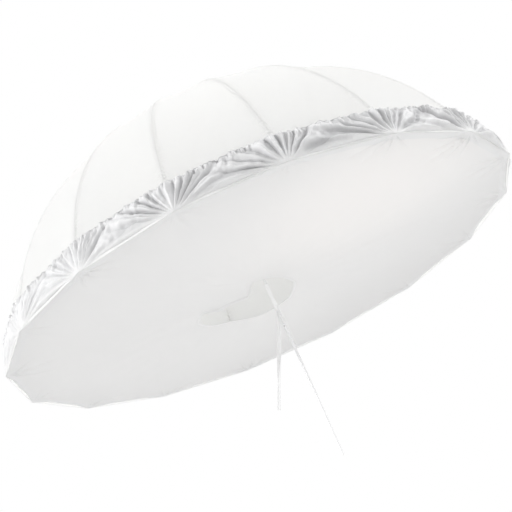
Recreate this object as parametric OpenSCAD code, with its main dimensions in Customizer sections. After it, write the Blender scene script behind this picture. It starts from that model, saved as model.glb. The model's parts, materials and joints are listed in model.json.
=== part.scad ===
/* [Canopy] */
// Distance from the shaft's axis to a seam of the canopy at the mouth
mouth_r = 820; // [600:5:1000]
// Depth of the dome from its mouth to its top
dome_depth = 600; // [450:5:680]
// Thickness of the canopy cloth with its reflective lining
cloth_t = 0.6; // [0.4:0.1:2]
// Angle of the first rib from +X
first_rib = 12.8; // [0:0.1:22.4]

/* [Shaft] */
// Diameter of the shaft, which fits a lamp's umbrella holder
shaft_d = 8; // [7:0.5:10]
// Wall of the shaft's tube
shaft_wall = 0.8; // [0.6:0.1:1.2]
// Length of the shaft from its free end to the mouth
handle_len = 580; // [450:5:800]
// Height of the plug's head below the free end of the tube
plug_head = 3; // [2:0.5:8]

/* [Ribs and struts] */
// Diameter of a glass fibre rib
rib_d = 3.5; // [3:0.1:4]
// Distance from the middle of a rib to the canopy's inner face
rib_drop = 3.6; // [3.4:0.1:5]
// Radius of the circle on which the ribs and struts hinge at the crown and the runner
hinge_r = 16; // [15:0.5:22]
// Diameter of the ring wire that holds the ribs
wire_d = 1.6; // [1.2:0.1:2]
// Straight distance from the crown's hinge to a rib's joiner
joiner_dist = 322; // [280:1:340]
// Distance from the middle of a rib to the rivet of its joiner
lug_drop = 7.5; // [7:0.1:9]
// Length of a strut between its two pivots
strut_len = 352; // [345:1:380]
// Wall of a strut's channel
strut_wall = 0.7; // [0.5:0.1:1]
// Radius of the circle that the rib tips reach when the frame is folded
folded_tip_r = 28; // [22:1:40]

/* [Runner] */
// Length of the runner's barrel below its toothed ring
barrel_len = 42; // [30:1:60]
// Radius of the runner's thumb flange
thumb_r = 13; // [11:0.5:15]
// How far the catch stands out of the shaft when it holds the runner
catch_out = 2; // [1.5:0.1:2.2]
// Length of the catch spring from its pin to its tooth
catch_len = 55; // [45:1:70]

/* [Diffuser cover] */
// Thickness of the diffuser cloth
cover_t = 0.5; // [0.4:0.1:2]
// Height of the gathered band on the outside of the canopy
band_h = 98; // [60:1:130]
// How far the middle of the face sags below the mouth
face_sag = 22; // [10:1:40]
// Length of the lamp slot
slot_len = 310; // [240:5:360]
// Width of the lamp slot when it is open
slot_w = 225; // [180:5:260]
// Middle of the lamp slot from the shaft's axis, to the left
slot_left = 77; // [60:1:90]
// Middle of the lamp slot from the shaft's axis, to the back
slot_back = 60; // [50:1:70]
// Width of the binding round the lamp slot
binding_w = 9; // [6:0.5:14]
// Distance from the mouth down to the knot round the shaft
knot_drop = 110; // [80:1:140]

/* [Hidden] */
$fn = 48;
rib_count = 16;
half_gore = 180 / rib_count;
eps = 0.01;

// Clearances
cloth_gap = 0.3;
swing_gap = 0.2;
pin_gap = 0.06;
slide_gap = 0.06;
end_gap = 0.4;
seat_gap = 0.06;

// Heights
mouth_z = handle_len;
top_z = mouth_z + dome_depth;

// Each gore is part of a lying cylinder, so that it is straight from rib to rib
gore_mid = mouth_r * cos(half_gore);
gore_rho = (gore_mid ^ 2 + dome_depth ^ 2) / (2 * dome_depth);
gore_z = top_z - gore_rho;
lining_rho = gore_rho - cloth_t;
cover_rho = gore_rho + cloth_gap;

// Parts of the crown, the runner and their fittings
shaft_r = shaft_d / 2;
rib_r = rib_d / 2;
wire_r = wire_d / 2;
eye_r = 2.2;
eye_hole = wire_r + pin_gap;
tongue_t = 1.8;
slot_gap = tongue_t + 2 * swing_gap;
tongue_len = 14;
ferrule_r = rib_r + 0.75;
ferrule_len = 18;
cap_r = rib_r + 0.5;
cap_len = 10;
joiner_r = rib_r + 0.85;
joiner_len = 13;
lug_t = 2;
lug_r = 2.6;
rivet_r = 1;
rivet_head = 0.8;
cheek_r = 2.8;
fork_len = 9;
channel_gap = lug_t + 2 * swing_gap;
channel_w = channel_gap + 2 * strut_wall;
channel_h = 3.4;
strut_tongue = 13;
strut_eye_r = 2;
core_r = hinge_r - 3.6;
teeth_r = hinge_r + 4;
teeth_h = 8;
cloth_hole = 6;
ferrule_floor = 3;
cap_floor = 2;
top_flat = 0.4;

// The rib's arc runs through three points below the canopy's seam
function seam_turn(z) = acos((z - gore_z) / lining_rho);
function seam_point(t) = [lining_rho / cos(half_gore) * sin(t), gore_z + lining_rho * cos(t)];
function seam_normal(t) =
    let (n = [cos(half_gore) * sin(t), cos(t)]) n / norm(n);
function rib_point(t) = seam_point(t) - rib_drop * seam_normal(t);
function centre_of(p, q, s) =
    let (d = 2 * (p[0] * (q[1] - s[1]) + q[0] * (s[1] - p[1]) + s[0] * (p[1] - q[1])))
    [(p * p * (q[1] - s[1]) + q * q * (s[1] - p[1]) + s * s * (p[1] - q[1])) / d,
     (p * p * (s[0] - q[0]) + q * q * (p[0] - s[0]) + s * s * (q[0] - p[0])) / d];
tip_rise = 14;
tip_turn = seam_turn(mouth_z + tip_rise);
inner_turn = asin(hinge_r * cos(half_gore) / lining_rho);
rib_inner = rib_point(inner_turn);
rib_tip = rib_point(tip_turn);
rib_centre = centre_of(rib_inner, rib_point((inner_turn + tip_turn) / 2), rib_tip);
rib_rho = norm(rib_tip - rib_centre);

// Places along the arc are angles from the vertical, seen from its centre
function arc_turn(p) = atan2(p[0] - rib_centre[0], p[1] - rib_centre[1]);
function arc_point(t, rho) = rib_centre + rho * [sin(t), cos(t)];
function arc_len(mm) = mm / rib_rho * 180 / PI;
hinge_turn = asin((hinge_r - rib_centre[0]) / rib_rho);
end_turn = arc_turn(rib_tip);
hinge = arc_point(hinge_turn, rib_rho);
ferrule_turn = hinge_turn + arc_len(tongue_len - 2 + ferrule_len / 2);
joiner_turn = hinge_turn + 2 * asin(joiner_dist / 2 / rib_rho);
joiner = arc_point(joiner_turn, rib_rho - lug_drop);

// The fold turns each rib about its hinge until its tip reaches folded_tip_r
function from_down(p) = atan2(p[0] - hinge[0], hinge[1] - p[1]);
function folded(p, turn) =
    let (d = p - hinge)
    hinge + [cos(turn) * d[0] + sin(turn) * d[1], cos(turn) * d[1] - sin(turn) * d[0]];
fold_turn = from_down(rib_tip) - asin((folded_tip_r - hinge_r) / norm(rib_tip - hinge));
joiner_folded = folded(joiner, fold_turn);
function strut_drop(p) = sqrt(strut_len ^ 2 - (p[0] - hinge_r) ^ 2);
runner_z = joiner[1] - strut_drop(joiner);
runner_folded_z = joiner_folded[1] - strut_drop(joiner_folded);
travel = runner_z - runner_folded_z;
strut_turn = asin((joiner[0] - hinge_r) / strut_len);
strut_turn_folded = asin((joiner_folded[0] - hinge_r) / strut_len);

// The crown, its cap and the runner's stops
crown_z = hinge[1];
cloth_top = top_z - top_flat;
crown_top = cloth_top - cloth_t - cloth_gap;
crown_skirt = 12;
crown_pin_z = crown_z - crown_skirt / 2 - 2;
washer_t = 1.5;
washer_z = cloth_top + cloth_gap;
nut_z = washer_z + washer_t;
shaft_top = nut_z + 10;
runner_low = runner_z - teeth_h / 2 - barrel_len;
runner_high = runner_z + teeth_h / 2;
bush_wall = 1;
bush_r = shaft_r + slide_gap + bush_wall;
barrel_r = bush_r + 2;
stop_h = 4;

// The catch spring turns about a pin in the shaft; the further its tooth comes out, the
// longer the tooth's ramp
catch_w = 2.4;
catch_t = 0.9;
catch_top = runner_low - end_gap;
catch_z = catch_top - catch_len;
catch_pin_r = 0.8;
catch_eye_r = 1.7;
catch_ledge = 3;
catch_h = 4.5 * catch_out + catch_ledge;
catch_slot = catch_w + 2 * swing_gap;
bore_r = shaft_r - shaft_wall;

// The diffuser cover
cover_low = mouth_z - 0.6;
cover_r = sqrt((cover_rho + cover_t) ^ 2 - (mouth_z - gore_z) ^ 2) / cos(half_gore);
flat_r = cover_r * cos(half_gore) - 20;
slot_sag = face_sag * 0.97;
elastic_w = 8;
elastic_t = 2.4;
knot_z = mouth_z - knot_drop;
knot_r = shaft_r + 5;
knot_h = 9;
bead_z = knot_z - knot_h / 2 - 3;

// Routes of the tapes that tie the cover to the shaft
lead_d = 3;
lead_route = [[0, -38, 556.2], [0, -37.6, 552], [0, -32, 536], [-0.6, -20, 512],
              [-1, -10.5, 490], [-1, -6.4, 474.8]];
tail_d = 3;
left_route = [[-5.2, 4, 465.2], [-5.4, 4.2, 463], [-8, 6, 456], [-17, 13, 438],
              [-32, 23, 410], [-58, 43, 357], [-88, 65, 294], [-122, 89, 222]];
right_route = [[-2.6, 6, 465.2], [-2.8, 6.3, 463], [-4, 9, 456], [-12, 17, 438],
               [-27, 28, 410], [-53, 47, 357], [-83, 69, 294], [-116, 95, 222]];

// Puts a child, drawn in the XZ plane, at one rib's place round the shaft
module at_rib(number) {
    rotate([0, 0, first_rib + (number - 1) * 2 * half_gore]) children();
}

module at_every_rib() {
    for (number = [1:rib_count]) at_rib(number) children();
}

// A tube between two radii, standing on z = low
module pipe(outer, inner, low, height) {
    translate([0, 0, low]) difference() {
        cylinder(r = outer, h = height);
        translate([0, 0, -eps]) cylinder(r = inner, h = height + 2 * eps);
    }
}

// A pin along the child's Y axis
module cross_pin(radius, length) {
    rotate([90, 0, 0]) cylinder(r = radius, h = length, center = true);
}

// A flat plate in the XZ plane, given by its outline there
module plate(thickness) {
    rotate([90, 0, 0]) linear_extrude(height = thickness, center = true) children();
}

// The solid under the dome between two heights: the gores are lying cylinders, cut flat on top
module dome_solid(rho, low, high) {
    reach = mouth_r * 1.2;
    intersection_for (turn = [0:2 * half_gore:180 - half_gore])
        rotate([0, 0, first_rib + half_gore + turn]) intersection() {
            translate([0, 0, gore_z]) cross_pin(rho, 2 * reach, $fn = 360);
            translate([-reach, -reach, low]) cube([2 * reach, 2 * reach, high - low]);
        }
}

// A shell of even thickness that follows the dome between two heights
module dome_shell(rho, thickness, low, high) {
    difference() {
        dome_solid(rho + thickness, low, high);
        dome_solid(rho, low - 1, min(high + 1, gore_z + rho - top_flat));
    }
}

// A round bar along the rib's arc, from one angle to another
module arc_bar(radius, from, to) {
    translate([rib_centre[0], 0, rib_centre[1]]) rotate([90, 0, 0]) rotate([0, 0, 90 - to])
        rotate_extrude(angle = to - from, $fn = 360)
            translate([rib_rho, 0]) circle(r = radius, $fn = 32);
}

// Puts a child on the rib's arc, with X along the rib and Z towards the canopy
module on_arc(turn) {
    place = arc_point(turn, rib_rho);
    translate([place[0], 0, place[1]]) rotate([0, turn, 0]) children();
}

// A lens-shaped outline between two equal arcs
module lens(length, width) {
    radius = (length ^ 2 + width ^ 2) / (4 * width);
    intersection() {
        translate([0, radius - width / 2]) circle(r = radius, $fn = 180);
        translate([0, width / 2 - radius]) circle(r = radius, $fn = 180);
    }
}

// The lamp slot's outline, grown by a margin
module slot_outline(margin) {
    translate([-slot_left, slot_back]) lens(slot_len + 4 * margin, slot_w + 2 * margin);
}

// The hub ring in which ribs or struts hinge: teeth with one narrow gap for each of them
module hinge_teeth(low, high) {
    difference() {
        pipe(teeth_r, core_r - 1, low, high - low);
        at_every_rib() translate([core_r, -slot_gap / 2, low - eps])
            cube([teeth_r, slot_gap, high - low + 2 * eps]);
    }
}

// The tube, with a rolled bead that keeps the runner from sliding off the free end
module shaft_tube() {
    bead_r = 1.2;
    color("silver") difference() {
        union() {
            cylinder(r = shaft_r, h = shaft_top);
            translate([0, 0, bead_z]) rotate_extrude()
                translate([shaft_r - bead_r + 0.35, 0]) circle(r = bead_r, $fn = 24);
        }
        translate([0, 0, -eps]) cylinder(r = bore_r, h = shaft_top + 2 * eps);
        translate([0, -catch_slot / 2, catch_top - catch_h - 2])
            cube([2 * shaft_r, catch_slot, catch_h + 3]);
        translate([0, 0, catch_z]) cross_pin(catch_pin_r, 2 * shaft_d);
        translate([0, 0, crown_pin_z]) cross_pin(rivet_r, 2 * shaft_d);
    }
}

// A plug with a rounded head closes the free end
module shaft_plug() {
    head_r = shaft_r - 0.3;
    nose = 1.5;
    spigot_r = bore_r - slide_gap;
    spigot_len = 16;
    color("white") rotate_extrude() polygon(concat(
        [[0, -plug_head]],
        [for (a = [0:15:90])
            [head_r - nose + nose * sin(a), nose - plug_head - nose * cos(a)]],
        [[head_r, 0], [spigot_r, 0], [spigot_r, spigot_len], [spigot_r - 1, spigot_len + 1],
         [0, spigot_len + 1]]));
}

module catch_pin() {
    color("silver") translate([0, 0, catch_z]) cross_pin(catch_pin_r, shaft_d - 0.6);
}

// A leaf with an eye at its foot and a tooth with a flat top and a sloping face
module catch_spring() {
    pressed = shaft_r - 0.15;
    color("gainsboro") translate([0, 0, catch_z]) difference() {
        plate(catch_w) union() {
            circle(r = catch_eye_r);
            translate([-catch_t / 2, 0]) square([catch_t, catch_len - 2]);
            polygon([[-catch_t / 2, catch_len - catch_h], [catch_t / 2, catch_len - catch_h],
                     [pressed, catch_len - catch_ledge], [pressed, catch_len - end_gap],
                     [-catch_t / 2, catch_len - end_gap]]);
        }
        cross_pin(catch_pin_r + pin_gap, 2 * catch_w);
    }
}

// A ring pressed on the shaft stops the runner from rising past its open place
module stop_ring() {
    color("silver") pipe(shaft_r + 2, shaft_r, runner_high + end_gap, stop_h);
}

module crown() {
    groove = wire_r + 0.05;
    color("white") difference() {
        union() {
            hinge_teeth(crown_z - teeth_h / 2, crown_z + 2.4);
            pipe(core_r, shaft_r, crown_z - crown_skirt, crown_top - crown_z + crown_skirt);
            pipe(shaft_r + 3, shaft_r, crown_z - crown_skirt - 6, 7);
        }
        rotate_extrude() translate([hinge_r - groove, crown_z - groove])
            square([2 * groove, teeth_h]);
        translate([0, 0, crown_pin_z]) cross_pin(rivet_r, 4 * core_r);
    }
}

module crown_pin() {
    color("silver") translate([0, 0, crown_pin_z]) cross_pin(rivet_r, 2 * core_r - 1);
}

module crown_wire() {
    color("silver") translate([0, 0, crown_z])
        rotate_extrude() translate([hinge_r, 0]) circle(r = wire_r, $fn = 24);
}

module top_washer() {
    color("whitesmoke") pipe(18, shaft_r + swing_gap, washer_z, washer_t);
}

// A domed nut on the end of the shaft holds the canopy's middle
module top_nut() {
    dome_r = 9;
    color("white") difference() {
        translate([0, 0, nut_z]) rotate_extrude() polygon(concat(
            [[0, 0], [13, 0], [13, 2], [dome_r, 4]],
            [for (a = [0:10:90]) [dome_r * cos(a), 9 + dome_r * sin(a)]]));
        translate([0, 0, nut_z - eps]) cylinder(r = shaft_r, h = shaft_top - nut_z + eps);
    }
}

// Toothed ring, barrel and thumb flange in one moulding
module runner_hub() {
    flange = 4;
    color("white") difference() {
        union() {
            hinge_teeth(runner_z - teeth_h / 2, runner_high);
            translate([0, 0, runner_low]) rotate_extrude() polygon(concat(
                [[0, 0], [thumb_r - 1, 0], [thumb_r, 1], [thumb_r, flange - 1]],
                [for (a = [0:15:90])
                    [barrel_r + (thumb_r - barrel_r) * (1 - sin(a)),
                     flange + (thumb_r - barrel_r) * (1 - cos(a))]],
                [[barrel_r, barrel_len - 5], [core_r, barrel_len - 1],
                 [core_r, barrel_len + teeth_h], [0, barrel_len + teeth_h]]));
        }
        translate([0, 0, runner_low - eps])
            cylinder(r = bush_r, h = barrel_len + teeth_h + 2 * eps);
        for (turn = [0:30:330]) rotate([0, 0, turn])
            translate([thumb_r + 1.2, 0, runner_low - eps]) cylinder(r = 2, h = flange + eps);
    }
}

module runner_bush() {
    color("goldenrod") pipe(bush_r, shaft_r + slide_gap, runner_low, barrel_len + teeth_h);
}

module canopy() {
    color("white") difference() {
        dome_shell(lining_rho, cloth_t, mouth_z, cloth_top);
        translate([0, 0, top_z - 10]) cylinder(r = cloth_hole, h = 20);
    }
}

// A rivet along the child's Y axis, with a domed head at each end of its grip
module rivet(grip) {
    head_r = 1.9;
    profile = [[0, -grip / 2 - rivet_head], [head_r - 0.6, -grip / 2 - rivet_head],
               [head_r, -grip / 2 - 0.3], [head_r, -grip / 2], [rivet_r, -grip / 2],
               [rivet_r, grip / 2], [head_r, grip / 2], [head_r, grip / 2 + 0.3],
               [head_r - 0.6, grip / 2 + rivet_head], [0, grip / 2 + rivet_head]];
    rotate([90, 0, 0]) rotate_extrude($fn = 24) polygon(profile);
}

// A rib: its rod, the crimped eye it hinges by, the joiner of its strut and its tip cap
module rib(number) {
    rod_from = ferrule_turn - arc_len(ferrule_len / 2 - ferrule_floor - seat_gap);
    rod_to = end_turn - arc_len(cap_floor + seat_gap);
    color("whitesmoke") at_rib(number) {
        arc_bar(rib_r, rod_from, rod_to);
        rib_eye();
        rib_joiner();
        rib_cap();
    }
}

// A straight bar along the child's X axis, from one end to the other
module straight_bar(radius, from, to) {
    translate([from, 0, 0]) rotate([0, 90, 0]) cylinder(r = radius, h = to - from);
}

// The metal eye: a flat tongue round the ring wire and a tube crimped on the rod
module rib_eye() {
    half = ferrule_len / 2;
    difference() {
        union() {
            on_arc(hinge_turn) plate(tongue_t) union() {
                circle(r = eye_r);
                translate([0, -eye_r]) square([tongue_len, 2 * eye_r]);
            }
            on_arc(ferrule_turn) straight_bar(ferrule_r, -half, half);
        }
        on_arc(hinge_turn) cross_pin(eye_hole, 2 * slot_gap);
        on_arc(ferrule_turn) straight_bar(rib_r + seat_gap, ferrule_floor - half, half + 1);
    }
}

// The joiner: a sleeve on the rod with a lug for the strut's fork
module rib_joiner() {
    half = joiner_len / 2;
    on_arc(joiner_turn) difference() {
        union() {
            straight_bar(joiner_r, -half, half);
            plate(lug_t) union() {
                translate([0, -lug_drop]) circle(r = lug_r);
                polygon([[-lug_r, -lug_drop], [lug_r, -lug_drop], [half - 2, -rib_r],
                         [2 - half, -rib_r]]);
            }
        }
        straight_bar(rib_r + seat_gap, -2 * half, 2 * half);
        translate([0, 0, -lug_drop]) cross_pin(rivet_r + pin_gap, 4 * lug_t);
    }
}

// A round-nosed cap that sits in the canopy's pocket
module rib_cap() {
    nose = 1.4;
    on_arc(end_turn - arc_len(cap_len / 2)) rotate([0, 90, 0])
        translate([0, 0, -cap_len / 2]) rotate_extrude() polygon(concat(
            [[rib_r + seat_gap, cap_len - cap_floor], [rib_r + seat_gap, 0], [cap_r, 0]],
            [for (a = [0:30:90])
                [cap_r - nose + nose * cos(a), cap_len - nose + nose * sin(a)]],
            [[0, cap_len], [0, cap_len - cap_floor]]));
}

// A strut: a folded channel, forked over the joiner's lug, with a tongue at the runner,
// its rivet and its own length of the runner's ring wire
module strut(number) {
    color("silver") at_rib(number) translate([joiner[0], 0, joiner[1]])
        rotate([0, 90 + strut_turn, 0]) {
            difference() {
                strut_body();
                cross_pin(rivet_r + seat_gap, 2 * channel_w);
                translate([strut_len, 0, 0]) cross_pin(wire_r + seat_gap, 2 * slot_gap);
            }
            rivet(channel_w + 2 * seat_gap);
            translate([strut_len, 0, 0]) cross_pin(wire_r, slot_gap - swing_gap);
        }
}

module strut_body() {
    channel_to = strut_len - strut_tongue;
    difference() {
        plate(channel_w) union() {
            circle(r = cheek_r);
            polygon([[0, -cheek_r], [fork_len, -channel_h / 2], [channel_to, -channel_h / 2],
                     [channel_to, channel_h / 2], [fork_len, channel_h / 2], [0, cheek_r]]);
        }
        plate(channel_gap) union() {
            translate([-2 * cheek_r, -channel_h]) square([2 * cheek_r + fork_len, 2 * channel_h]);
            translate([0, strut_wall - channel_h / 2]) square([2 * strut_len, channel_h]);
        }
    }
    plate(tongue_t) union() {
        translate([strut_len, 0]) circle(r = strut_eye_r);
        translate([channel_to - 6, -channel_h / 2])
            square([strut_tongue + 6, channel_h / 2 + strut_eye_r - 0.3]);
    }
}

// The face: nearly flat near its rim, sagging towards the shaft, with the lamp slot
module diffuser_face() {
    steps = 8;
    function sag_at(r) = face_sag * (1 - (r / flat_r) ^ 2);
    color("white") difference() {
        intersection() {
            rotate_extrude($fn = 96) polygon(concat(
                [for (i = [0:steps]) let (r = flat_r * i / steps) [r, cover_low - sag_at(r)]],
                [[cover_r + 1, cover_low], [cover_r + 1, cover_low - cover_t]],
                [for (i = [steps:-1:0]) let (r = flat_r * i / steps)
                    [r, cover_low - cover_t - sag_at(r)]]));
            translate([0, 0, cover_low - 2 * face_sag]) linear_extrude(height = 3 * face_sag)
                polygon([for (i = [0:rib_count - 1])
                    let (a = first_rib + 2 * half_gore * i) cover_r * [cos(a), sin(a)]]);
        }
        translate([0, 0, cover_low - 3 * face_sag]) linear_extrude(height = 4 * face_sag)
            slot_outline(binding_w);
    }
}

module diffuser_band() {
    color("white") dome_shell(cover_rho, cover_t, cover_low, mouth_z + band_h - elastic_w);
}

// The hem of the band, gathered by the elastic inside it
module band_elastic() {
    color("white") dome_shell(cover_rho, elastic_t, mouth_z + band_h - elastic_w,
                              mouth_z + band_h);
}

module slot_binding() {
    thickness = 2.6;
    color("white") translate([0, 0, cover_low - cover_t / 2 - slot_sag - thickness / 2])
        linear_extrude(height = thickness) difference() {
            slot_outline(binding_w);
            slot_outline(0);
        }
}

// A tube swept along a route: rings at even steps, square to the route
function at_length(route, s, i = 0) =
    let (piece = norm(route[i + 1] - route[i]))
    s <= piece || i >= len(route) - 2
        ? route[i] + (route[i + 1] - route[i]) * s / piece
        : at_length(route, s - piece, i + 1);
function route_length(route, i = 0) =
    i >= len(route) - 1 ? 0 : norm(route[i + 1] - route[i]) + route_length(route, i + 1);

module tape_tube(route, diameter, rings) {
    sides = 8;
    total = route_length(route);
    centres = [for (i = [0:rings - 1]) at_length(route, total * i / (rings - 1))];
    function heading(i) = let (a = centres[max(i - 1, 0)], b = centres[min(i + 1, rings - 1)])
        (b - a) / norm(b - a);
    points = [for (i = [0:rings - 1])
        let (t = heading(i), u = cross([0, 1, 0], t) / norm(cross([0, 1, 0], t)), v = cross(t, u))
        for (j = [0:sides - 1]) let (a = 360 * j / sides)
            centres[i] + diameter / 2 * (cos(a) * u + sin(a) * v)];
    walls = [for (i = [0:rings - 2]) for (j = [0:sides - 1])
        let (k = (j + 1) % sides, a = i * sides, b = a + sides) [a + j, b + j, b + k, a + k]];
    foot = [[for (j = [0:sides - 1]) j]];
    head = [[for (j = [sides - 1:-1:0]) (rings - 1) * sides + j]];
    polyhedron(points = points, faces = concat(foot, walls, head));
}

module tie_lead() {
    color("white") tape_tube(lead_route, lead_d, 14);
}

module tie_left() {
    color("white") tape_tube(left_route, tail_d, 32);
}

module tie_right() {
    color("white") tape_tube(right_route, tail_d, 32);
}

// The knot: a rounded ring of tape drawn tight round the shaft
module tie_knot() {
    round = 2;
    color("white") translate([0, 0, knot_z - knot_h / 2]) rotate_extrude() polygon([
        [shaft_r, round], [shaft_r + 1, 0], [knot_r - round, 0], [knot_r, round],
        [knot_r, knot_h - round], [knot_r - round, knot_h], [shaft_r + 1, knot_h],
        [shaft_r, knot_h - round]]);
}

shaft_tube();
shaft_plug();
catch_pin();
catch_spring();
stop_ring();
crown();
crown_pin();
crown_wire();
top_washer();
top_nut();
runner_hub();
runner_bush();
canopy();
diffuser_face();
diffuser_band();
band_elastic();
slot_binding();
tie_lead();
tie_knot();
tie_left();
tie_right();
rib(1);  // rib_01
rib(2);  // rib_02
rib(3);  // rib_03
rib(4);  // rib_04
rib(5);  // rib_05
rib(6);  // rib_06
rib(7);  // rib_07
rib(8);  // rib_08
rib(9);  // rib_09
rib(10);  // rib_10
rib(11);  // rib_11
rib(12);  // rib_12
rib(13);  // rib_13
rib(14);  // rib_14
rib(15);  // rib_15
rib(16);  // rib_16
strut(1);  // strut_01
strut(2);  // strut_02
strut(3);  // strut_03
strut(4);  // strut_04
strut(5);  // strut_05
strut(6);  // strut_06
strut(7);  // strut_07
strut(8);  // strut_08
strut(9);  // strut_09
strut(10);  // strut_10
strut(11);  // strut_11
strut(12);  // strut_12
strut(13);  // strut_13
strut(14);  // strut_14
strut(15);  // strut_15
strut(16);  // strut_16
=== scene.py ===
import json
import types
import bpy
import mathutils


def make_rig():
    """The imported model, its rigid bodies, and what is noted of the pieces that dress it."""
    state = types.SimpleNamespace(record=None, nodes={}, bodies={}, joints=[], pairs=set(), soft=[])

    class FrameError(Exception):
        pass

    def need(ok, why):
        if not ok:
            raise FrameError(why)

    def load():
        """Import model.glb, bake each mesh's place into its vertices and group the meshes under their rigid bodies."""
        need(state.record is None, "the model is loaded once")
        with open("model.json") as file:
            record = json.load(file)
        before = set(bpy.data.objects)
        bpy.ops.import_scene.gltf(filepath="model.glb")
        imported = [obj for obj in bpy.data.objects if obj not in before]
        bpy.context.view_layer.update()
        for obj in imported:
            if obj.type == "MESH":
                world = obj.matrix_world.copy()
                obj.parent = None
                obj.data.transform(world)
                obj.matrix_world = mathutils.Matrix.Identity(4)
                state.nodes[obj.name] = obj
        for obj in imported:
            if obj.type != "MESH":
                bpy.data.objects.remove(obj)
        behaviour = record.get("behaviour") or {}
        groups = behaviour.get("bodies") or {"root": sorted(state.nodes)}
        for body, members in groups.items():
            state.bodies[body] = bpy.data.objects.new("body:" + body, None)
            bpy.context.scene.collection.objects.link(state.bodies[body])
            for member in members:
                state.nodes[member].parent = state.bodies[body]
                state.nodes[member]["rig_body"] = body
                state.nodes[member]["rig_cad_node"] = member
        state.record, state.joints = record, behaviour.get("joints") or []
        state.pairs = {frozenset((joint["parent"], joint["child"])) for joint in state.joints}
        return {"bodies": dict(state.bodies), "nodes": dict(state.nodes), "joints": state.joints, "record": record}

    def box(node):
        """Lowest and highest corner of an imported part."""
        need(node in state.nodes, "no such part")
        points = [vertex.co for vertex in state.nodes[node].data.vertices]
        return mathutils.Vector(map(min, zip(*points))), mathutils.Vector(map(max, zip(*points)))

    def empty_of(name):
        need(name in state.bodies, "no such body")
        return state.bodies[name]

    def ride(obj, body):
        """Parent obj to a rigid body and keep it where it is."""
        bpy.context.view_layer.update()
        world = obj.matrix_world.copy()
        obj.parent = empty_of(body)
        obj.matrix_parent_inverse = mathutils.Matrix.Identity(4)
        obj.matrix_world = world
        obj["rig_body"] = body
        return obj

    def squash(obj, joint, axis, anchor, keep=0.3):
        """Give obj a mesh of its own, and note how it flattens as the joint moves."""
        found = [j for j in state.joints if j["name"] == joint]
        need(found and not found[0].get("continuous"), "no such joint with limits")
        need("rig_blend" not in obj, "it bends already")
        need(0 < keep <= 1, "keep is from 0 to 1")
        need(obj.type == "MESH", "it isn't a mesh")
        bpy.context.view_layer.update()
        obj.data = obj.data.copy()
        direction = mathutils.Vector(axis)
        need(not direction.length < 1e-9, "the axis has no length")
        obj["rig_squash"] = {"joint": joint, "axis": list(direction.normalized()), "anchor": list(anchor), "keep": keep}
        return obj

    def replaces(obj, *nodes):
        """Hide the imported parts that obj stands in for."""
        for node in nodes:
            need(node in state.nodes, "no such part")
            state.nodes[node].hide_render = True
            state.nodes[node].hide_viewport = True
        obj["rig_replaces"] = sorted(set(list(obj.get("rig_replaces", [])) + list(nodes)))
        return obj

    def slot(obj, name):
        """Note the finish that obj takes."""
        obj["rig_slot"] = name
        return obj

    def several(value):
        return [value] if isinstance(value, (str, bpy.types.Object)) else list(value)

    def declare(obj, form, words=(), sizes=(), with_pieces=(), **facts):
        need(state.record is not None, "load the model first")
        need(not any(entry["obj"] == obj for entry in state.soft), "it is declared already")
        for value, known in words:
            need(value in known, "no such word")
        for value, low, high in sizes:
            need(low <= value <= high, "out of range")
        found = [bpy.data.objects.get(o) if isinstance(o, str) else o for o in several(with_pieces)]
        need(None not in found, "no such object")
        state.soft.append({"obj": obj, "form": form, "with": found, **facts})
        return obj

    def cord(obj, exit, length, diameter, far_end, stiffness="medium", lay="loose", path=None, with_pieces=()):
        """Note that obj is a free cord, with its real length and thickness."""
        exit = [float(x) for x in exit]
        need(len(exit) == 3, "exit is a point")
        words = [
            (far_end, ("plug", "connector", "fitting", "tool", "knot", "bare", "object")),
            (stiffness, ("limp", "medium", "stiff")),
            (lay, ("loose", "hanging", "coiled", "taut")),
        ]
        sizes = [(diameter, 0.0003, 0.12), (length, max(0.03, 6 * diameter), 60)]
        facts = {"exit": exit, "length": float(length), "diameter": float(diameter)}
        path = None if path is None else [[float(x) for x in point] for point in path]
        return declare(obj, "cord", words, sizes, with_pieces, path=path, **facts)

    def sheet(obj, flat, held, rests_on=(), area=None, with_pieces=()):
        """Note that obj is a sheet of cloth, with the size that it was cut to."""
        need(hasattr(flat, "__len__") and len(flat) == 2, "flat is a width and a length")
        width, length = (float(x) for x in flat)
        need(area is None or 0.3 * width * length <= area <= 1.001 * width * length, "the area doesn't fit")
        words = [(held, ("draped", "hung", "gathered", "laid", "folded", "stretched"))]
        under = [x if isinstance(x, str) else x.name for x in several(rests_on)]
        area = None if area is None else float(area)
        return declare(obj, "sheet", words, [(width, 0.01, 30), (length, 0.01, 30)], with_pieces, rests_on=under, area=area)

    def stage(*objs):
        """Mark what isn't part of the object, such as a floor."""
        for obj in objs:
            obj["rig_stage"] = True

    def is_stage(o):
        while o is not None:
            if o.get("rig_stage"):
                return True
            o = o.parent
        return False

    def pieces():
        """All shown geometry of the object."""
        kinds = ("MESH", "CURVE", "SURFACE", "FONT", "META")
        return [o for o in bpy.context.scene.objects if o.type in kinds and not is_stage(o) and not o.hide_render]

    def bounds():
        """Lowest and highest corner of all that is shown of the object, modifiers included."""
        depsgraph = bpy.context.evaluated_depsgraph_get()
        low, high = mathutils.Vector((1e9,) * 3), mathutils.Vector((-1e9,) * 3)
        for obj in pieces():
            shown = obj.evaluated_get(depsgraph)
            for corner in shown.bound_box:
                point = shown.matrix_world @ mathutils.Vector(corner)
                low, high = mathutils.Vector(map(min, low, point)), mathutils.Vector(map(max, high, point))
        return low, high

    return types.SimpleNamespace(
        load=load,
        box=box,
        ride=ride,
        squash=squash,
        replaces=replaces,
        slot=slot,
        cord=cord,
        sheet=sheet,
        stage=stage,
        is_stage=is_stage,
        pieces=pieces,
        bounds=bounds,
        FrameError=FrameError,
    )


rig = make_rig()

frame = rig.load()

import json
import math
import bpy
import numpy as np
from mathutils import Matrix, Vector

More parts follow.
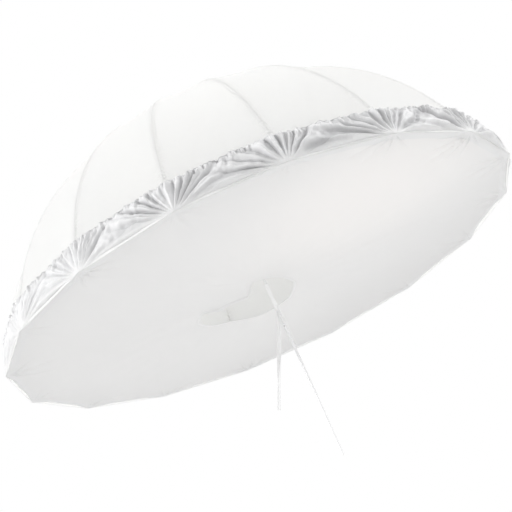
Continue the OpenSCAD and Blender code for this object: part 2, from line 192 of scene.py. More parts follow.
scene = bpy.context.scene
nodes = frame["nodes"]
cadBox = [list(corner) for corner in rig.bounds()]


# Sizes read from the frame

def nodePoints(name):
    points = np.zeros(len(nodes[name].data.vertices) * 3, np.float32)
    nodes[name].data.vertices.foreach_get("co", points)
    return points.reshape(-1, 3).astype(float)


def jointPlace(name):
    return np.array(next(joint["pos_m"] for joint in frame["joints"] if joint["name"] == name), float)


ribCount = 16
gore = 2 * math.pi / ribCount
halfGore = gore / 2
topFlat = 0.0004   # the CAD dome's top is cut flat this far down
canopyPoints = nodePoints("canopy")
mouthR = float(np.hypot(canopyPoints[:, 0], canopyPoints[:, 1]).max())
mouthZ, topZ = float(canopyPoints[:, 2].min()), float(canopyPoints[:, 2].max()) + topFlat
firstHinge = jointPlace("rib_hinge_01")
firstRib = math.atan2(firstHinge[1], firstHinge[0])
goreMid, domeDepth = mouthR * math.cos(halfGore), topZ - mouthZ
goreRho = (goreMid ** 2 + domeDepth ** 2) / (2 * domeDepth)   # a gore is part of a lying cylinder
goreZ = topZ - goreRho
coverLow = float(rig.box("diffuser_band")[0].z)
hemHigh = float(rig.box("band_elastic")[1].z)
print("frame: mouth", round(mouthR, 4), "dome", round(mouthZ, 3), round(topZ, 3))


# Camera

camera = dict(place=(-0.0002, -4.8382, -1.0545), right=(0.9108, 0.1370, -0.3894),
              up=(0.4127, -0.3056, 0.8580), lens=119.36, sensor=36, clip=(0.1, 200))


def makeCamera(look):
    data = bpy.data.cameras.new("camera")
    data.lens, data.sensor_width = look["lens"], look["sensor"]
    data.clip_start, data.clip_end = look["clip"]
    right = Vector(look["right"]).normalized()
    up = Vector(look["up"]).normalized()
    back = right.cross(up).normalized()
    up = back.cross(right)
    turn = Matrix((right, up, back)).transposed().to_4x4()
    item = bpy.data.objects.new("camera", data)
    item.matrix_world = Matrix.Translation(look["place"]) @ turn
    scene.collection.objects.link(item)
    scene.camera = item


makeCamera(camera)
print("camera made")


# Meshes from grids

tapeSharp = 70   # degrees above which a swept tape keeps an edge


def unit(vectors):
    return vectors / np.maximum(np.linalg.norm(vectors, axis=-1, keepdims=True), 1e-12)


def smooth(x, low, high):
    t = np.clip((x - low) / (high - low), 0, 1)
    return t * t * (3 - 2 * t)


def normalsOf(shape, u, v, step=1e-4):
    # the cross product of the two directions in which the surface runs at each point
    across = shape(u + step, v) - shape(u - step, v)
    along = shape(u, v + step) - shape(u, v - step)
    return unit(np.cross(across, along))


def buildMesh(name, points, faces, uv=None, values=None, normals=None, sharpAngle=50):
    mesh = bpy.data.meshes.new(name)
    mesh.from_pydata(points.tolist(), [], faces if isinstance(faces, list) else faces.tolist())
    if uv is not None:
        corners = np.zeros(len(mesh.loops), np.int32)
        mesh.loops.foreach_get("vertex_index", corners)
        layer = mesh.uv_layers.new(name="UVMap")
        layer.data.foreach_set("uv", uv[corners].ravel().astype(np.float32))
    for key, value in (values or {}).items():
        layer = mesh.attributes.new(key, "FLOAT", "POINT")
        layer.data.foreach_set("value", value.astype(np.float32))
    mesh.shade_smooth()
    if normals is not None:
        mesh.normals_split_custom_set_from_vertices(normals.tolist())
    elif sharpAngle:
        mesh.set_sharp_from_angle(angle=math.radians(sharpAngle))
    mesh.validate()
    item = bpy.data.objects.new(name, mesh)
    scene.collection.objects.link(item)
    return item


def gridFaces(rows, columns, closeAcross=False, closeAlong=False):
    index = np.arange(rows * columns).reshape(rows, columns)
    if closeAlong:
        index = np.vstack([index, index[:1]])
    if closeAcross:
        index = np.hstack([index, index[:, :1]])
    return np.stack([index[:-1, :-1], index[:-1, 1:], index[1:, 1:], index[1:, :-1]], -1).reshape(-1, 4)


def clothPiece(name, shape, u, v, thickness, uv, values=None):
    # an outer grid, the same grid one thickness further in along the normals, and a rim of faces between
    u, v = np.meshgrid(u, v)
    outer, normal = shape(u, v), normalsOf(shape, u, v)
    rows, columns = u.shape
    inner = outer - thickness * normal
    count = rows * columns
    skin = gridFaces(rows, columns)
    index = np.arange(count).reshape(rows, columns)
    loop = np.concatenate([index[0, :-1], index[:-1, -1], index[-1, :0:-1], index[:0:-1, 0]])
    after = np.roll(loop, -1)
    rim = np.stack([after, loop, loop + count, after + count], -1)
    faces = np.vstack([skin, skin[:, ::-1] + count, rim])
    points = np.vstack([outer.reshape(-1, 3), inner.reshape(-1, 3)])
    normals = np.vstack([normal.reshape(-1, 3), -normal.reshape(-1, 3)])
    flat = uv(u, v).reshape(-1, 2)
    fields = {key: np.tile(value(u, v).ravel(), 2) for key, value in (values or {}).items()}
    return buildMesh(name, points, faces, np.vstack([flat, flat]), fields, normals)


def sweepShape(centres, aside, outward, halfWide, halfThick, ring=14, square=2.6, closed=False):
    # a flat oval carried along a path: cosine and sine to a power below 1 give it full edges
    turns = np.linspace(0, 2 * np.pi, ring, endpoint=False)
    wide, thick = (np.sign(f(turns)) * np.abs(f(turns)) ** (2 / square) for f in (np.cos, np.sin))
    halfWide, halfThick = (np.broadcast_to(h, len(centres))[:, None, None] for h in (halfWide, halfThick))
    points = (centres[:, None] + aside[:, None] * wide[None, :, None] * halfWide
              + outward[:, None] * thick[None, :, None] * halfThick)
    count = len(centres)
    along = np.concatenate([[0], np.cumsum(np.linalg.norm(np.diff(centres, axis=0), axis=1))])
    girth = np.arange(ring) * 4 * halfWide.mean() / ring
    uv = np.stack(np.broadcast_arrays(girth[None], along[:, None]), -1)
    points, uv = points.reshape(-1, 3), uv.reshape(-1, 2)
    faces = gridFaces(count, ring, closeAcross=True, closeAlong=closed)
    first, second = points[faces[:, 1]] - points[faces[:, 0]], points[faces[:, 3]] - points[faces[:, 0]]
    middle = centres[np.minimum(faces[:, 0] // ring, count - 1)]
    if ((np.cross(first, second) * (points[faces[:, 0]] - middle)).sum(1) < 0).mean() > 0.5:
        faces = faces[:, ::-1]
    faces = faces.tolist()
    if not closed:
        ends = np.arange(ring), np.arange(ring) + (count - 1) * ring
        for loop, facing in zip(ends, (centres[0] - centres[1], centres[-1] - centres[-2])):
            spin = np.cross(points[loop[1]] - points[loop[0]], points[loop[2]] - points[loop[1]])
            faces.append(loop.tolist() if spin @ facing > 0 else loop[::-1].tolist())
    return points, faces, uv


def sweep(name, *path, **settings):
    return buildMesh(name, *sweepShape(*path, **settings), sharpAngle=tapeSharp)


def curveThrough(route, count):
    # a smooth curve through a route's points: each stretch is a cubic whose directions at its ends are the
    # mean of its neighbours'
    route = np.array(route, float)
    steps = np.concatenate([[0], np.cumsum(np.linalg.norm(np.diff(route, axis=0), axis=1))])
    slopes = np.gradient(route, steps, axis=0)
    at = np.linspace(0, steps[-1], count)
    i = np.clip(np.searchsorted(steps, at, side="right") - 1, 0, len(route) - 2)
    span = (steps[i + 1] - steps[i])[:, None]
    t = ((at - steps[i]) / span[:, 0])[:, None]
    return ((2 * t ** 3 - 3 * t ** 2 + 1) * route[i] + (t ** 3 - 2 * t ** 2 + t) * span * slopes[i]
            + (3 * t ** 2 - 2 * t ** 3) * route[i + 1] + (t ** 3 - t ** 2) * span * slopes[i + 1])


def goreNoise(seed, cells, rows):
    # smooth noise round the axis with so many cells to a gore: a lattice of random values, blended between
    # its points
    lattice = np.random.RandomState(seed).uniform(-1, 1, (rows, cells * ribCount))

    def value(phi, y, shift=0.0):
        x = around(phi, cells) + shift
        column, row = np.floor(x).astype(int), np.floor(y).astype(int)
        across, along = x - column, y - row
        across, along = across * across * (3 - 2 * across), along * along * (3 - 2 * along)
        first, last = column % (cells * ribCount), (column + 1) % (cells * ribCount)
        low = lattice[row % rows, first] * (1 - across) + lattice[row % rows, last] * across
        high = lattice[(row + 1) % rows, first] * (1 - across) + lattice[(row + 1) % rows, last] * across
        return low * (1 - along) + high * along
    return value


def around(phi, cells):
    # how many cells round the axis a direction lies from the first rib, with so many to a gore
    return (phi - firstRib) / gore * cells


def fromMiddle(phi):
    # a direction's angle from the middle of its gore
    return (phi - firstRib) % gore - halfGore


# Materials

class Field:
    # a socket of a material, with sums on it that add their own nodes

    def __init__(self, maker, socket):
        self.maker, self.socket = maker, socket

    def sum(self, operation, *values):
        return self.maker.node("ShaderNodeMath", dict(operation=operation), dict(enumerate(values)))

    def __add__(self, other):
        return self.sum("ADD", self, other)

    def __radd__(self, other):
        return self.sum("ADD", other, self)

    def __sub__(self, other):
        return self.sum("SUBTRACT", self, other)

    def __rsub__(self, other):
        return self.sum("SUBTRACT", other, self)

    def __mul__(self, other):
        return self.sum("MULTIPLY", self, other)

    def __rmul__(self, other):
        return self.sum("MULTIPLY", other, self)

    def __truediv__(self, other):
        return self.sum("DIVIDE", self, other)

    def __pow__(self, other):
        return self.sum("POWER", self, other)

    def __gt__(self, other):
        return self.sum("GREATER_THAN", self, other)

    def __lt__(self, other):
        return self.sum("LESS_THAN", self, other)

    def sin(self):
        return self.sum("SINE", self)

    def abs(self):
        return self.sum("ABSOLUTE", self)

    def part(self):
        return self.sum("FRACT", self)

    def between(self, low, high, first=0.0, last=1.0):
        # a smooth step from the first value at low to the last one at high
        return self.maker.node("ShaderNodeMapRange", dict(interpolation_type="SMOOTHSTEP"),
                               {"Value": self, "From Min": low, "From Max": high,
                                "To Min": first, "To Max": last})


class Maker:
    # makes the nodes of one material or world

    def __init__(self, holder):
        holder.use_nodes = True
        self.tree = holder.node_tree
        self.tree.nodes.clear()

    def node(self, kind, settings=None, values=None, out=0):
        made = self.tree.nodes.new(kind)
        for key, value in (settings or {}).items():
            setattr(made, key, value)
        for key, value in (values or {}).items():
            if isinstance(value, Field):
                self.tree.links.new(value.socket, made.inputs[key])
            else:
                made.inputs[key].default_value = value
        return Field(self, made.outputs[out]) if made.outputs else None

    def place(self, kind="Object"):
        return self.node("ShaderNodeTexCoord", out=kind)

    def parts(self, vector):
        split = self.node("ShaderNodeSeparateXYZ", values={0: vector}).socket.node
        return [Field(self, split.outputs[axis]) for axis in range(3)]

    def field(self, name):
        return self.node("ShaderNodeAttribute", dict(attribute_name=name), out="Fac")

    def noise(self, vector, scale, detail=3.0, roughness=0.5):
        return self.node("ShaderNodeTexNoise", values={"Vector": vector, "Scale": scale, "Detail": detail,
                                                       "Roughness": roughness})

    def mix(self, factor, first, second):
        made = self.tree.nodes.new("ShaderNodeMix")
        made.data_type = "RGBA"
        for slot, value in ((0, factor), (6, first), (7, second)):
            if isinstance(value, Field):
                self.tree.links.new(value.socket, made.inputs[slot])
            else:
                made.inputs[slot].default_value = (*value, 1) if slot else value
        return Field(self, made.outputs[2])

    def bump(self, height, distance):
        return self.node("ShaderNodeBump", values={"Height": height, "Distance": distance, "Strength": 1.0})


def finishOf(name, build):
    material = bpy.data.materials.new(name)
    maker = Maker(material)
    shader = build(maker)
    maker.node("ShaderNodeOutputMaterial", values={"Surface": shader})
    return material


def weave(maker, uv, pitch):
    # two sets of threads at right angles, each over the other in turn
    x, y, _ = maker.parts(uv)
    warp = (x * (2 * math.pi / pitch)).sin()
    weft = (y * (2 * math.pi / pitch)).sin()
    return warp * weft


def clothColour(maker, place, cloudy, threads, look):
    # cloudy cloth; on the band painted paler at its lower edge as light and darker above it as shade, with painted
    # shade in its folds; on the face a painted glow of warmer white where a light comes through and painted shade on
    # the side away from the light; with its weave on top
    x, y, z = maker.parts(place)
    colour = maker.mix(cloudy.between(*look["cloudRise"]), look["colour"], look["tint"])
    # painted light and shade: the band's lower edge where it rounds the rim is paler, the band above it darker
    if "lower" in look:
        colour = maker.mix(z.between(*look["lowerRise"]), look["lower"], colour)
    if "foldShade" in look:
        # painted shade: the colour goes towards the shade colour in the folds' valleys, as the fold attribute says
        colour = maker.mix(maker.field("fold") * look["foldShade"], colour, look["shade"])
    if "warm" in look:
        # painted light: a glow of warmer white round one place, as if a light came through the cloth there
        aside, back = x - look["warmAt"][0], y - look["warmAt"][1]
        reach = (aside * aside + back * back) ** 0.5
        colour = maker.mix(reach.between(*look["warmReach"], 1.0, 0.0), colour, look["warm"])
        # painted shade: the colour darkens towards one side, away from the light
        far = x * look["farWay"][0] + y * look["farWay"][1]
        colour = maker.mix(far.between(*look["farRise"]), colour, look["farSide"])
    return maker.mix(threads.between(-1.0, 1.0, 0.0, look["weaveDepth"]), colour, look["shade"])


def stitches(maker, uv, height, colour, look):
    # two rows of stitches beside each seam, and the small puckers that they draw in the cloth
    seam, along = maker.field("seam"), maker.parts(uv)[1]
    step = (along / look["stitch"]).part()
    dash = step.between(*look["stitchStart"]) * (1 - step.between(*look["stitchEnd"]))
    rows = sum(((seam - place).abs() < look["stitchWide"]) for place in look["rows"])
    pucker = (along * (2 * math.pi / look["pucker"])).sin() * (1 - seam.between(0.0, look["puckerReach"]))
    height = height + pucker * look["puckerHeight"] + rows * (dash - 0.5) * look["stitchHeight"]
    return height, maker.mix(rows * dash * look["threadShade"], colour, look["shade"])


def cloth(name, look):
    def build(maker):
        place, uv = maker.place(), maker.place("UV")
        threads = weave(maker, uv, look["pitch"])
        cloudy = maker.noise(place, look["cloud"], *look["cloudNoise"])
        crease = maker.noise(place, look["crease"], *look["creaseNoise"])
        colour = clothColour(maker, place, cloudy, threads, look)
        height = crease * look["creaseHeight"] + threads * look["threadHeight"]
        if "stitch" in look:
            height, colour = stitches(maker, uv, height, colour, look)
        normal = maker.bump(height, 1.0)
        rough = cloudy.between(*look["roughRise"], look["rough"] - look["roughSpread"],
                               look["rough"] + look["roughSpread"])
        front = maker.node("ShaderNodeBsdfPrincipled", values={
            "Base Color": colour, "Roughness": rough, "Sheen Weight": look["sheen"], "Sheen Roughness": 0.4,
            "Normal": normal, "Specular IOR Level": look["gloss"]})
        through = maker.node("ShaderNodeBsdfTranslucent", values={
            "Color": (*look["glow"], 1), "Normal": normal})
        thin = look["thin"]
        if "lower" in look:
            thin = maker.parts(place)[2].between(*look["lowerRise"], look["lowerThin"], thin)
        return maker.node("ShaderNodeMixShader", values={0: thin, 1: front, 2: through})
    return finishOf(name, build)


clothBase = dict(cloudNoise=(4.0, 0.55), cloudRise=(0.35, 0.70), creaseNoise=(5.0, 0.6), roughRise=(0.3, 0.7),
                 roughSpread=0.06, gloss=0.35)
canopyLook = dict(clothBase, colour=(0.94, 0.94, 0.94), tint=(0.925, 0.928, 0.932), shade=(0.80, 0.80, 0.81),
                  pitch=0.0012, cloud=3.0, crease=22.0, creaseHeight=0.0012, threadHeight=0.00003,
                  weaveDepth=0.12, rough=0.55, sheen=0.15, glow=(0.97, 0.97, 0.96), thin=0.55,
                  stitch=0.0032, stitchStart=(0.12, 0.20), stitchEnd=(0.80, 0.90), stitchWide=0.0005,
                  rows=(0.0035, 0.0075), pucker=0.011, puckerReach=0.03, puckerHeight=0.0005,
                  stitchHeight=0.0003, threadShade=0.35)
diffuserLook = dict(clothBase, colour=(0.885, 0.885, 0.885), tint=(0.87, 0.87, 0.87),
                    shade=(0.78, 0.78, 0.785), pitch=0.0009, cloud=2.2, crease=16.0,
                    creaseHeight=0.0009, threadHeight=0.00002, weaveDepth=0.10, rough=0.5, sheen=0.2,
                    glow=(0.97, 0.96, 0.95), thin=0.28)
# the face's cloth has a painted glow and painted shade on the side away from the light
faceLook = dict(diffuserLook, warm=(0.975, 0.96, 0.95), warmAt=(0.36, -0.36), warmReach=(0.05, 0.58),
                farSide=(0.81, 0.81, 0.81), farWay=(0.55, 0.83), farRise=(0.15, 0.85))
# the band is the face's cloth painted darker as shade; its lower edge by the rim is painted paler as light, and its
# folds take painted shade
bandLook = dict(diffuserLook, colour=(0.84, 0.84, 0.845), tint=(0.81, 0.81, 0.815), shade=(0.42, 0.42, 0.43),
                foldShade=0.66, crease=42.0, creaseHeight=0.0014, thin=0.08, glow=(0.90, 0.90, 0.90),
                lower=(0.92, 0.92, 0.92), lowerThin=0.28, lowerRise=(coverLow + 0.004, coverLow + 0.042))
hemLook = dict(bandLook, colour=(0.86, 0.86, 0.86), pitch=0.0016, threadHeight=0.00008, crease=90.0, thin=0.1)
tapeLook = dict(diffuserLook, colour=(0.975, 0.975, 0.975), tint=(0.965, 0.965, 0.965),
                shade=(0.92, 0.92, 0.92), glow=(0.985, 0.985, 0.985), thin=0.35)
canopyCloth = cloth("canopyCloth", canopyLook)
diffuserCloth = cloth("diffuserCloth", faceLook)
bandCloth = cloth("bandCloth", bandLook)
hemCloth = cloth("hemCloth", hemLook)
# the binding's white is the tape's own white, raised further as a painted highlight on the slot's lip
bindingCloth = cloth("bindingCloth", dict(tapeLook, pitch=0.0016))
tieTape = cloth("tieTape", dict(tapeLook, pitch=0.0014, threadHeight=0.00006))
print("cloth finishes made")


# Tie tapes

tieSizes = dict(leadLong=0.088, tailLong=0.283, leadWide=0.013, tailWide=0.0075, thick=0.0007,
                leadPoints=60, tailPoints=90, ring=16, square=3.2, facing=(0.9, 0.14, -0.39),
                pinch=0.4, pinchAt=0.52, pinchLong=0.09, drawn=0.35, drawnFrom=0.9,
                folded=0.72, opens=(0.02, 0.15))
leadRoute = [(0, -38, 556.2), (0, -37.6, 552), (0, -32, 536), (-0.6, -20, 512), (-1, -10.5, 490),
             (-1, -6.4, 474.8)]
leftRoute = [(-5.2, 4, 465.2), (-5.4, 4.2, 463), (-8, 6, 456), (-17, 13, 438), (-32, 23, 410), (-58, 43, 357),
             (-88, 65, 294), (-122, 89, 222)]
rightRoute = [(-2.6, 6, 465.2), (-2.8, 6.3, 463), (-4, 9, 456), (-12, 17, 438), (-27, 28, 410), (-53, 47, 357),
              (-83, 69, 294), (-116, 95, 222)]


def leadFold(share):
    # the lead's width is pinched past its middle and drawn together at the knot
    pinch = tieSizes["pinch"] * np.exp(-((share - tieSizes["pinchAt"]) / tieSizes["pinchLong"]) ** 2)
    return 1 - pinch - tieSizes["drawn"] * smooth(share, tieSizes["drawnFrom"], 1)


def tailFold(share):
    # a tail leaves the knot folded and opens to its width
    return tieSizes["folded"] + (1 - tieSizes["folded"]) * smooth(share, *tieSizes["opens"])


def tape(name, route, count, wide, turn, fold):
    # a flat tape: its width turns about the path by a start, a twist and a wobble, and it narrows where it
    # is folded
    centres = curveThrough(np.array(route) / 1000, count)
    ahead = unit(np.gradient(centres, axis=0))
    share = np.linspace(0, 1, count)
    flat = unit(np.cross(ahead, np.broadcast_to(tieSizes["facing"], ahead.shape)))
    other = np.cross(ahead, flat)
    start, twist, wobble, waves = turn
    angle = (start + twist * share + wobble * np.sin(waves * share))[:, None]
    aside = flat * np.cos(angle) + other * np.sin(angle)
    outward = np.cross(aside, ahead)
    halfThick = tieSizes["thick"] * (1.4 - 0.4 * fold(share))
    item = sweep(name, centres, aside, outward, wide / 2 * fold(share), halfThick,
                 ring=tieSizes["ring"], square=tieSizes["square"])
    return item, centres


def makeTies():
    lead, leadPath = tape("tieLead", leadRoute, tieSizes["leadPoints"], tieSizes["leadWide"],
                          (1.45, 0, 0.3, 5), leadFold)
    left, leftPath = tape("tieTailLeft", leftRoute, tieSizes["tailPoints"], tieSizes["tailWide"],
                          (1.2, 2.6, 0.5, 9), tailFold)
    right, rightPath = tape("tieTailRight", rightRoute, tieSizes["tailPoints"], tieSizes["tailWide"],
                            (0.5, 3.4, -0.5, 8), tailFold)
    knot = makeKnot(knotSizes)
    for item, node in ((lead, "tie_lead"), (left, "tie_left"), (right, "tie_right"), (knot, "tie_knot")):
        item.data.materials.append(tieTape)
        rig.replaces(item, node)
        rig.slot(item, "tie_tape")
        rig.ride(item, "shaft")
    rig.cord(lead, exit=leadPath[0], length=tieSizes["leadLong"],
            diameter=tieSizes["leadWide"], far_end="knot", stiffness="limp", lay="taut", path=leadPath,
            with_pieces=[knot])
    for item, path in ((left, leftPath), (right, rightPath)):
        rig.cord(item, exit=path[0], length=tieSizes["tailLong"],
                diameter=tieSizes["tailWide"], far_end="bare", stiffness="limp", lay="hanging", path=path)


def joinShapes(name, shapes):
    # several closed shapes as one piece
    starts = np.cumsum([0] + [len(points) for points, _, _ in shapes])
    faces = [[int(i + start) for i in face] for (_, loops, _), start in zip(shapes, starts) for face in loops]
    return buildMesh(name, np.concatenate([shape[0] for shape in shapes]), faces,
                     np.concatenate([shape[2] for shape in shapes]), sharpAngle=tapeSharp)


knotSizes = dict(z=0.470, radius=0.0050, apart=0.0009, uneven=0.0004, turns=((0.0022, 0.0), (-0.0020, 0.0010)),
                 slopeFrom=0.6, halfWide=0.0026, halfThick=0.0007, turnPoints=64,
                 loops=0.0013, loopsHigh=1.15, swing=35, at=(-0.0052, 0.0062, -0.001),
                 loopsHalfWide=0.0017, loopsHalfThick=0.0009, loopsPoints=120)


def makeKnot(sizes):
    # two turns round the shaft that cross each other, and the overhand knot that closes them
    parts = []
    for number, (slope, lift) in enumerate(sizes["turns"]):
        turn = np.linspace(0, 2 * np.pi, sizes["turnPoints"], endpoint=False)
        radius = sizes["radius"] + sizes["apart"] * number + sizes["uneven"] * np.cos(3 * turn)
        high = sizes["z"] + lift + slope * np.sin(turn - sizes["slopeFrom"])
        centres = np.stack([radius * np.cos(turn), radius * np.sin(turn), high], -1)
        outward = np.stack([np.cos(turn), np.sin(turn), 0 * turn], -1)
        aside = unit(np.cross(outward, unit(np.roll(centres, -1, 0) - np.roll(centres, 1, 0))))
        parts.append(sweepShape(centres, aside, outward, sizes["halfWide"], sizes["halfThick"], closed=True))
    # the overhand knot is a trefoil: three turns the short way while it goes twice the long way
    turn = np.linspace(0, 2 * np.pi, sizes["loopsPoints"], endpoint=False)
    centres = np.stack([(2 + np.cos(3 * turn)) * np.cos(2 * turn), sizes["loopsHigh"] * np.sin(3 * turn),
                        (2 + np.cos(3 * turn)) * np.sin(2 * turn)], -1) * sizes["loops"]
    swing = math.radians(sizes["swing"])
    spin = np.array([[math.cos(swing), -math.sin(swing), 0], [math.sin(swing), math.cos(swing), 0], [0, 0, 1]])
    middle = np.array(sizes["at"]) + np.array([0, 0, sizes["z"]])
    centres = centres @ spin.T + middle
    ahead = unit(np.roll(centres, -1, 0) - np.roll(centres, 1, 0))
    outward = unit(centres - middle)
    aside = unit(np.cross(ahead, outward))
    parts.append(sweepShape(centres, aside, np.cross(aside, ahead), sizes["loopsHalfWide"],
                            sizes["loopsHalfThick"], closed=True))
    return joinShapes("tieKnot", parts)


makeTies()
print("ties made")


# Canopy

canopySizes = dict(cut=(0.33, 1.09), seamAllowance=0.005, thickness=0.0006, sag=0.004, sagPower=0.8,
                   seamRise=0.0005, seamWide=0.009, holeR=0.006, rows=84, columns=30,
                   seamColumns=(0, 0.012, 0.026, 0.032), clothWide=0.32)
rimTurn = math.acos((mouthZ - goreZ) / goreRho)
foldKeep = 0.45   # the share of its width that a closed gore keeps


def seamDistance(u, v):
    distance = goreRho * np.sin(rimTurn - v / goreRho)
    return np.minimum(u, 1 - u) * 2 * distance * math.tan(halfGore)


def goreShape(number, sizes):
    # u runs from this rib to the next, v in metres from the mouth to the crown along the gore's arc; its
    # distance from the axis is the cylinder's radius times the sine of the turn; it sags by a sine each way
    # and rises at its seams
    middle = firstRib + number * gore + halfGore
    outward = np.array([math.cos(middle), math.sin(middle), 0])
    aside = np.array([-math.sin(middle), math.cos(middle), 0])

    def shape(u, v):
        turn = rimTurn - v / goreRho
        distance = goreRho * np.sin(turn)
        across = (2 * u - 1) * distance * math.tan(halfGore)
        share = np.clip(v / (goreRho * rimTurn), 0, 1)
        rise = -sizes["sag"] * np.sin(np.pi * np.clip(u, 0, 1)) * np.sin(np.pi * share ** sizes["sagPower"])
        seam = smooth(seamDistance(u, v), sizes["seamWide"] * 0.8, sizes["seamWide"])
        rise = rise + sizes["seamRise"] * (1 - seam)
        normal = np.sin(turn)[..., None] * outward + np.cos(turn)[..., None] * np.array([0, 0, 1.0])
        base = distance[..., None] * outward + across[..., None] * aside
        base[..., 2] += goreZ + goreRho * np.cos(turn)
        return base + rise[..., None] * normal
    return shape


def tangentAt(number):
    turn = firstRib + number * gore
    return (-math.sin(turn), math.cos(turn), 0)


def foldWithRib(item, number, keep):
    # a closed gore turns with its own rib and is flattened along the rim
    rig.squash(item, "runner_slide", axis=tangentAt(number), anchor=(0, 0, mouthZ), keep=keep)
    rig.ride(item, f"rib_{number + 1:02d}")


def goreCut(rimTurn, allowance):
    # a gore lies flat as wide as twice its distance from the axis times the half gore's tangent, summed
    # along its arc
    return 2 * math.tan(halfGore) * goreRho ** 2 * (1 - math.cos(rimTurn)) + 2 * allowance * goreRho * rimTurn


def makeCanopy(sizes):
    seamColumns = np.array(sizes["seamColumns"])
    u = np.concatenate([seamColumns, np.linspace(0.05, 0.95, sizes["columns"]), 1 - seamColumns[::-1]])
    v = np.linspace(0, goreRho * rimTurn - sizes["holeR"], sizes["rows"])
    for number in range(ribCount):
        item = clothPiece(f"canopyGore{number + 1:02d}", goreShape(number, sizes), u, v, sizes["thickness"],
                          lambda a, b: np.stack([(a - 0.5) * sizes["clothWide"], b], -1),
                          values=dict(seam=seamDistance))
        item.data.materials.append(canopyCloth)
        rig.replaces(item, "canopy")
        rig.slot(item, "canopy_cloth")
        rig.sheet(item, flat=sizes["cut"], held="stretched", area=goreCut(rimTurn, sizes["seamAllowance"]),
                 rests_on=[f"rib_{number + 1:02d}"])
        foldWithRib(item, number, foldKeep)


makeCanopy(canopySizes)
print("canopy made")


# Diffuser cover

coverSizes = dict(bandCut=(0.36, 0.15), faceCut=(0.165, 0.77), cloth=0.0005, stand=0.0008,
                  sag=0.022, sagPower=1.35, cornerTip=0.0022, cornerMiddle=0.0118, cornerReach=0.10,
                  lip=0.032, rimInset=0.012, rimSlack=0.0062, slackReach=0.05, scallop=0.0035,
                  scallopFrom=0.04, slotLong=0.310, slotWide=0.225, slotLeft=0.077, slotBack=0.060,
                  bandWide=0.322, bandColumns=181, faceWide=0.16, faceLong=0.62, faceColumns=25, faceKeep=0.03)
hemTop = hemHigh - coverLow
coverRho = goreRho + coverSizes["stand"]
coverRim = math.sqrt(coverRho ** 2 - (coverLow - goreZ) ** 2)   # distance of the rim's middle from the axis
flatR = coverRim - coverSizes["rimInset"]
softNoise = goreNoise(7, 4, 32)
foldNoise = goreNoise(11, 9, 32)
crumpleNoise = goreNoise(19, 24, 64)
gatherNoise = goreNoise(23, 8, 8)
phaseNoise = goreNoise(31, 12, 32)


def wave(phase):
    # a fold's height from 0 in its valley to 1 on its ridge
    return 1 - np.abs(2 * (phase - np.floor(phase)) - 1)


def pleat(phase, lean):
    # a fold that rises gently to its ridge and drops steeply after it
    part = phase - np.floor(phase)
    return np.minimum(part / lean, (1 - part) / (1 - lean))


# shadeDeep, shadeRise and the tick sizes set the band's painted shade in its folds and between the hem's gathers
fanSizes = dict(deep=0.0175, drop=0.005, sideFull=0.09, sideEnd=0.27, bend=0.03, rough=0.013, roughLong=0.03,
                least=0.55, sizeTurn=2.4, second=(2.3, 0.3), shares=(0.78, 0.22), secondRise=(0.045, 0.10),
                fullRise=(0.004, 0.085), highRise=(0.0, 0.022), hemCalm=0.03, room=0.8,
                calmTips=(8, 11), calm=0.6, shadeDeep=0.0085, shadeRise=(0.008, 0.022),
                tickLong=0.024, tickEnd=0.006, tick=1.2,
                wrinkleDeep=0.0062, wrinkleUnder=0.012, wrinkleRise=(0.008, 0.035), wrinkleFall=(0.04, 0.19))
chance = np.random.RandomState(41)
fans = dict(count=chance.uniform(9.0, 12.5, ribCount), phase=chance.uniform(0, 1, ribCount),
            bend=chance.uniform(0, 1, ribCount), deep=chance.uniform(0.75, 1.15, ribCount),
            edge=chance.uniform(0.8, 1.15, ribCount), lean=chance.uniform(0.52, 0.80, ribCount),
            wrinkles=chance.uniform(3.5, 6.5, ribCount), face=chance.uniform(0.25, 1.0, ribCount))
fans["deep"][slice(*fanSizes["calmTips"])] *= fanSizes["calm"]


def fanFolds(phi, w, sizes=fanSizes):
    # folds that spread like a fan from each rib tip: their number runs with the angle round the tip, and
    # they are as deep as the tip's own depth times smooth steps in the distance from it; below the rim they
    # are small wrinkles
    rib = np.floor((phi - firstRib) / gore)
    total, room = np.zeros_like(w), np.zeros_like(w)
    for side in (0, 1):
        tip = (rib + side).astype(int)
        aside = (phi - firstRib - tip * gore) * mouthR
        tip = tip % ribCount
        high = w + sizes["drop"]
        reach = np.hypot(aside, high)
        turn = np.arctan2(high, aside) / np.pi
        near = 1 - smooth(np.abs(aside), sizes["sideFull"], sizes["sideEnd"])
        bent = turn + sizes["bend"] * np.sin(2 * np.pi * (2 * turn + fans["bend"][tip]))
        bent = bent + sizes["rough"] * foldNoise(phi, w / sizes["roughLong"])
        phase = fans["count"][tip] * bent + fans["phase"][tip]
        wander = np.sin(sizes["sizeTurn"] * np.floor(phase) + 9 * fans["bend"][tip]) ** 2
        size = sizes["least"] + (1 - sizes["least"]) * wander
        ridge = size * pleat(phase, fans["lean"][tip]) ** fans["edge"][tip]
        second = wave(sizes["second"][0] * phase + sizes["second"][1]) * smooth(reach, *sizes["secondRise"])
        fullness = smooth(reach, *sizes["fullRise"]) * smooth(high, *sizes["highRise"])
        fullness = fullness * (1 - 0.5 * smooth(w, hemTop - sizes["hemCalm"], hemTop))
        deepest = sizes["deep"] * fans["deep"][tip] * near * fullness
        total = total + deepest * (sizes["shares"][0] * ridge + sizes["shares"][1] * second)
        # room: how deep the folds could reach here, against which the painted fold shade is measured
        room = room + deepest * sizes["room"] * size
        under = -np.minimum(high, 0)
        phase = fans["wrinkles"][tip] * turn + fans["bend"][tip]
        tight = smooth(under, 0.0, sizes["wrinkleUnder"]) * smooth(reach, *sizes["wrinkleRise"])
        tight = tight * (1 - smooth(reach, *sizes["wrinkleFall"]))
        total = total + sizes["wrinkleDeep"] * fans["face"][tip] * tight * wave(phase) ** 3
    return total, room


